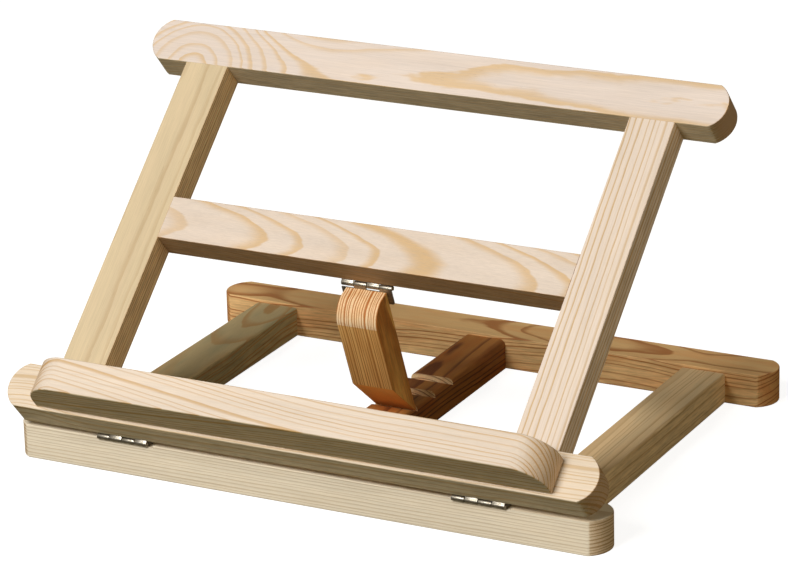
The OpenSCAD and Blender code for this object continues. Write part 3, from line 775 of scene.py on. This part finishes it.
# Each face gets the painted highlight or the painted bevel light by the way it faces.
for face in strut.data.polygons:
    middle = to_strut @ face.center
    out = (to_strut.to_3x3() @ face.normal).normalized()
    if out.z > -0.5 and abs(out.x) < 0.5 and middle.y > strut_top_u - strut_corner_r - 0.5:
        face.material_index = painted_highlight_top
    elif out.z > 0.2 and out.y < -0.2:
        face.material_index = bounce_lit_bevel


# ---- Hinges ----
# Three small nickelled butt hinges, rolled from thin sheet, two under the frame and one at the
# strut. Each leaf has two knuckles around a steel pin and two countersunk screws.
leaf_t, knuckle_r, pin_r = 1.0, 1.9, 1.0
knuckle_gap, knuckle_count = 0.3, 4
leaf_screw_pitch, leaf_screw_y = 21, 6.75
leaf_screw_head_r = 2.5
knuckle_l = (hinge_l - (knuckle_count - 1) * knuckle_gap) / knuckle_count


def millimetres(tree):
    """Object coordinates in millimetres."""
    return put(tree, "ShaderNodeMapping", {
        "Vector": put(tree, "ShaderNodeTexCoord").outputs["Object"], "Scale": (1000, 1000, 1000),
    }).outputs[0]


nickel_bright, nickel_dull = (0.42, 0.395, 0.34, 1), (0.28, 0.25, 0.195, 1)
nickel_pitted = (0.30, 0.24, 0.17, 1)
nickel, nickel_shader = new_material("nickel")
nickel_tree = nickel.node_tree
nickel_place = millimetres(nickel_tree)
nickel_brush = mottle(nickel_tree, nickel_place, (0.12, 2.5, 2.5), 1.0, 3.0, 0.6).outputs["Fac"]
nickel_cloud = mottle(nickel_tree, nickel_place, (2.2, 1.6, 1.6), 2.0, 3.0, 0.6).outputs["Fac"]
nickel_pit = mottle(nickel_tree, nickel_place, (0.35, 0.35, 0.35), 3.0, 1.0).outputs["Fac"]
nickel_pit = ramp(nickel_tree, nickel_pit, 0.66, 0.74)
nickel_colour = ramp(nickel_tree, nickel_cloud, 0.35, 0.7)
nickel_colour = blend_colour(nickel_tree, "MIX", nickel_colour, nickel_bright, nickel_dull)
nickel_colour = blend_colour(nickel_tree, "MIX", nickel_pit, nickel_colour, nickel_pitted)
nickel_rough = ramp(nickel_tree, nickel_cloud, 0.3, 0.7, 0.36, 0.50)
nickel_relief = put(nickel_tree, "ShaderNodeBump", {
    "Height": calc(nickel_tree, "SUBTRACT", nickel_brush, nickel_pit), "Strength": 0.12, "Distance": 0.00003})
nickel_shader.inputs["Metallic"].default_value = 1.0
nickel_tree.links.new(nickel_colour, nickel_shader.inputs["Base Color"])
nickel_tree.links.new(nickel_rough, nickel_shader.inputs["Roughness"])
nickel_tree.links.new(nickel_relief.outputs[0], nickel_shader.inputs["Normal"])


def leaf_mesh(name, first):
    """One leaf, the pin's axis along X at the origin and its plate towards +Y, pin_rise below the axis."""
    flat = bpy.data.curves.new(name, "CURVE")
    flat.dimensions, flat.fill_mode = "2D", "BOTH"
    rim, corner_r = 0.15, 1.2
    flat.extrude, flat.bevel_depth, flat.bevel_resolution, flat.offset = leaf_t / 2 - rim, rim, 1, -rim
    near = knuckle_r + knuckle_gap
    corners = [(-hinge_l / 2, near), (hinge_l / 2, near)]
    corners += arc(hinge_l / 2 - corner_r, leaf_w - corner_r, corner_r, 0, 90, steps=5)
    corners += arc(-hinge_l / 2 + corner_r, leaf_w - corner_r, corner_r, 90, 180, steps=5)
    holes = [
        arc(x, leaf_screw_y, leaf_screw_head_r, 0, -345, steps=23)
        for x in (-leaf_screw_pitch / 2, leaf_screw_pitch / 2)]
    for loop in [corners] + holes:
        spline = flat.splines.new("POLY")
        spline.points.add(len(loop) - 1)
        for point, (x, y) in zip(spline.points, loop):
            point.co = (x, y, 0, 1)
        spline.use_cyclic_u = True
    holder = add_object(name, flat)
    plate = evaluated_mesh(holder)
    bpy.data.objects.remove(holder)
    bpy.data.curves.remove(flat)
    plate.transform(Matrix.Translation((0, 0, -pin_rise + leaf_t / 2)))
    made = bmesh.new()
    made.from_mesh(plate)
    bmesh.ops.remove_doubles(made, verts=made.verts, dist=0.0005)
    bpy.data.meshes.remove(plate)
    # The sheet's edge is rolled round the pin and comes back almost to the plate
    root, lip, under, over = near + 0.4, 0.9, -pin_rise, -pin_rise + leaf_t
    outer = [(root, under), (lip, under + 0.02)] + arc(0, 0, knuckle_r, -82, -338, steps=20)
    inner = arc(0, 0, pin_r + 0.04, -338, -78, steps=20) + [(lip, over), (root, over)]
    for i in range(first, knuckle_count, 2):
        start = -hinge_l / 2 + i * (knuckle_l + knuckle_gap)
        roll = extrude((outer + inner)[::-1], start, start + knuckle_l, "X")
        bmesh.ops.recalc_face_normals(roll, faces=roll.faces)
        rims = [e for e in roll.edges if all(abs(v.co.x - start) < 0.001 for v in e.verts)
                or all(abs(v.co.x - start - knuckle_l) < 0.001 for v in e.verts)]
        bmesh.ops.bevel(roll, geom=rims, offset=0.2, segments=2, affect="EDGES", profile=0.5)
        roll_mesh = bpy.data.meshes.new("roll")
        roll.to_mesh(roll_mesh)
        roll.free()
        made.from_mesh(roll_mesh)
        bpy.data.meshes.remove(roll_mesh)
    return made


face_down = Matrix.Scale(-1, 4, (0, 0, 1))
hinge_places = {"left": Vector((-hinge_x, 0, 0)), "right": Vector((hinge_x, 0, 0))}
base_leaf_place = Vector((0, -hinge_front, front_bar_h - recess_depth + pin_rise))
frame_leaf_place = Vector((0, -hinge_drop, -pin_rise))
leaf_places = [
    (f"base_leaf_{side}", "base", 0, on_base @ Matrix.Translation(at + base_leaf_place))
    for side, at in hinge_places.items()
] + [
    (f"frame_leaf_{side}", "frame", 1, on_frame @ Matrix.Translation(at + frame_leaf_place) @ face_down)
    for side, at in hinge_places.items()
]
at_strut_pin = Matrix.Translation((0, strut_pin_u, -pin_rise))
leaf_places += [
    ("rail_leaf", "frame", 0, on_frame @ at_strut_pin @ face_down),
    ("strut_leaf", "strut", 1, on_strut @ at_strut_pin @ face_down @ Matrix.Scale(-1, 4, (0, 1, 0))),
]
for node, body, first, place in leaf_places:
    made = leaf_mesh(node, first)
    made.transform(place)
    bmesh.ops.recalc_face_normals(made, faces=made.faces)
    made.normal_update()
    for face in made.faces:
        face.smooth = True
    for edge in made.edges:
        edge.smooth = degrees(edge.calc_face_angle(0)) < 32
    mesh = bpy.data.meshes.new(node + "_sheet")
    made.to_mesh(mesh)
    made.free()
    mesh.materials.append(nickel)
    piece = add_object(node + "_sheet", mesh)
    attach(piece, body)
    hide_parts(node)


# ---- Screws ----
# Small countersunk cross-head screws in the hinge leaves, and three longer ones that hold the ledge
# from the back of the bottom bar. All are bright zinc-plated steel.
steel_bright, steel_dull = (0.66, 0.65, 0.62, 1), (0.48, 0.45, 0.38, 1)
steel, steel_shader = new_material("zinc-plated steel")
steel_tree = steel.node_tree
steel_place = millimetres(steel_tree)
steel_cloud = mottle(steel_tree, steel_place, (1.3, 1.3, 1.3), 4.0, 3.0, 0.6).outputs["Fac"]
steel_grit = mottle(steel_tree, steel_place, (0.2, 0.2, 0.2), 5.0, 2.0, 0.6).outputs["Fac"]
steel_colour = blend_colour(steel_tree, "MIX", steel_cloud, steel_bright, steel_dull)
steel_rough = ramp(steel_tree, steel_cloud, 0.3, 0.7, 0.26, 0.44)
steel_relief = put(steel_tree, "ShaderNodeBump", {
    "Height": steel_grit, "Strength": 0.15, "Distance": 0.00004})
steel_shader.inputs["Metallic"].default_value = 1.0
steel_tree.links.new(steel_colour, steel_shader.inputs["Base Color"])
steel_tree.links.new(steel_rough, steel_shader.inputs["Roughness"])
steel_tree.links.new(steel_relief.outputs[0], steel_shader.inputs["Normal"])


def make_screw_tree():
    """Puts a countersunk cross-head screw at every point, its head at the point and its tip along the
    point's stored direction."""
    tree = bpy.data.node_groups.new("countersunk screws", "GeometryNodeTree")
    tree.interface.new_socket("Geometry", in_out="INPUT", socket_type="NodeSocketGeometry")
    for name, value in (("Shank Diameter", 0.0025), ("Length", 0.013)):
        socket = tree.interface.new_socket(name, in_out="INPUT", socket_type="NodeSocketFloat")
        socket.default_value = value
    tree.interface.new_socket("Geometry", in_out="OUTPUT", socket_type="NodeSocketGeometry")
    given = tree.nodes.new("NodeGroupInput").outputs
    width, length = given["Shank Diameter"], given["Length"]
    half = calc(tree, "MULTIPLY", width, 0.5)

    def lowered(geometry, down):
        shift = put(tree, "ShaderNodeCombineXYZ", {2: calc(tree, "MULTIPLY", down, -1.0)}).outputs[0]
        return put(tree, "GeometryNodeTransform", {"Geometry": geometry, "Translation": shift}).outputs[0]

    head = put(tree, "GeometryNodeMeshCone", {
        "Vertices": 28, "Radius Top": calc(tree, "MULTIPLY", width, 0.98), "Radius Bottom": half,
        "Depth": half,
    }).outputs["Mesh"]
    shank_l = calc(tree, "SUBTRACT", length, calc(tree, "MULTIPLY", width, 1.5))
    shank = put(tree, "GeometryNodeMeshCone", {
        "Vertices": 20, "Radius Top": half, "Radius Bottom": half, "Depth": shank_l,
    }).outputs["Mesh"]
    tip = put(tree, "GeometryNodeMeshCone", {
        "Vertices": 20, "Radius Top": half, "Radius Bottom": 0.00005, "Depth": width,
    }).outputs["Mesh"]
    slot_l, slot_w = calc(tree, "MULTIPLY", width, 1.15), calc(tree, "MULTIPLY", width, 0.22)
    slots = put(tree, "GeometryNodeMeshBoolean", {
        "Mesh 1": lowered(head, half),
    }, operation="DIFFERENCE", solver="EXACT")
    for a, b in ((slot_l, slot_w), (slot_w, slot_l)):
        size = put(tree, "ShaderNodeCombineXYZ", {0: a, 1: b, 2: half}).outputs[0]
        cube = put(tree, "GeometryNodeMeshCube", {"Size": size}).outputs["Mesh"]
        tree.links.new(cube, slots.inputs["Mesh 2"])
    whole = put(tree, "GeometryNodeJoinGeometry")
    shank_end = calc(tree, "ADD", shank_l, half)
    for part in (slots.outputs["Mesh"], lowered(shank, shank_end), lowered(tip, length)):
        tree.links.new(part, whole.inputs[0])
    into = put(tree, "GeometryNodeInputNamedAttribute", {"Name": "into"}, data_type="FLOAT_VECTOR").outputs[0]
    turned = put(tree, "FunctionNodeAlignRotationToVector", {"Vector": into}, axis="Z").outputs[0]
    screws = put(tree, "GeometryNodeInstanceOnPoints", {
        "Points": given["Geometry"], "Instance": whole.outputs[0], "Rotation": turned}).outputs[0]
    real = put(tree, "GeometryNodeRealizeInstances", {"Geometry": screws}).outputs[0]
    finished = put(tree, "GeometryNodeSetMaterial", {"Geometry": real, "Material": steel}).outputs[0]
    put(tree, "NodeGroupOutput", {0: finished})
    return tree


screw_tree = make_screw_tree()
screw_sockets = {s.name: s.identifier for s in screw_tree.interface.items_tree if s.in_out == "INPUT"}
ledge_screw_x = 90
leaf_screw = dict(width=2.5, length=13, local=[
    Vector((side * leaf_screw_pitch / 2, leaf_screw_y, leaf_t - pin_rise)) for side in (-1, 1)])
ledge_screw = dict(width=4.0, length=38, local=[
    Vector((x, -ledge_step - ledge_w / 2, 0)) for x in (-ledge_screw_x, 0, ledge_screw_x)])
leaf_place = {node: place for node, _, _, place in leaf_places}
base_leaf_places = [leaf_place["base_leaf_left"], leaf_place["base_leaf_right"]]
frame_leaf_places = [leaf_place["frame_leaf_left"], leaf_place["frame_leaf_right"]]
screw_sets = [
    ("base_leaf_screws", "base", leaf_screw, base_leaf_places),
    ("frame_leaf_screws", "frame", leaf_screw, frame_leaf_places),
    ("rail_leaf_screws", "frame", leaf_screw, [leaf_place["rail_leaf"]]),
    ("strut_leaf_screws", "strut", leaf_screw, [leaf_place["strut_leaf"]]),
    ("ledge_screws", "frame", ledge_screw, [on_frame @ Matrix.Rotation(pi, 4, "X")]),
]
for node, body, screw, places in screw_sets:
    spots = [
        (place @ point, (place.to_3x3() @ Vector((0, 0, 1))).normalized())
        for place in places for point in screw["local"]]
    points = bpy.data.meshes.new(node + "_points")
    points.from_pydata([spot for spot, _ in spots], [], [])
    into = points.attributes.new("into", "FLOAT_VECTOR", "POINT")
    into.data.foreach_set("vector", [value for _, out in spots for value in out])
    holder = add_object(node + "_points", points)
    setting = holder.modifiers.new("screws", "NODES")
    setting.node_group = screw_tree
    setting[screw_sockets["Shank Diameter"]] = screw["width"] * MM
    setting[screw_sockets["Length"]] = screw["length"] * MM
    mesh = evaluated_mesh(holder)
    bpy.data.objects.remove(holder)
    bpy.data.meshes.remove(points)
    mesh.name = node + "_set"
    piece = add_object(node + "_set", mesh)
    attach(piece, body)
    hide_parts(node)


# ---- Pins and dowels ----
# The hinge pins are plain steel wire. The dowels are beech, hidden inside the joints. Both keep the
# shapes they come with and get only their materials here.
for node in ("base_pin_left", "base_pin_right", "strut_pin"):
    for slot in frame["nodes"][node].material_slots:
        slot.material = steel
for body, drawn_on, seed in (("base", on_base, 11.0), ("frame", on_frame, 12.0)):
    beech = pine(
        f"{body} dowel beech", drawn_on, (0, 144, -40), along="Y",
        ring_width=3.0, late_share=0.7, contrast=0.35, wander=0.5, seed=seed,
        early_wood=(0.62, 0.42, 0.24), late_wood=(0.50, 0.31, 0.16), heart_tint=(0.60, 0.38, 0.20))
    for slot in frame["nodes"][f"{body}_dowels"].material_slots:
        slot.material = beech
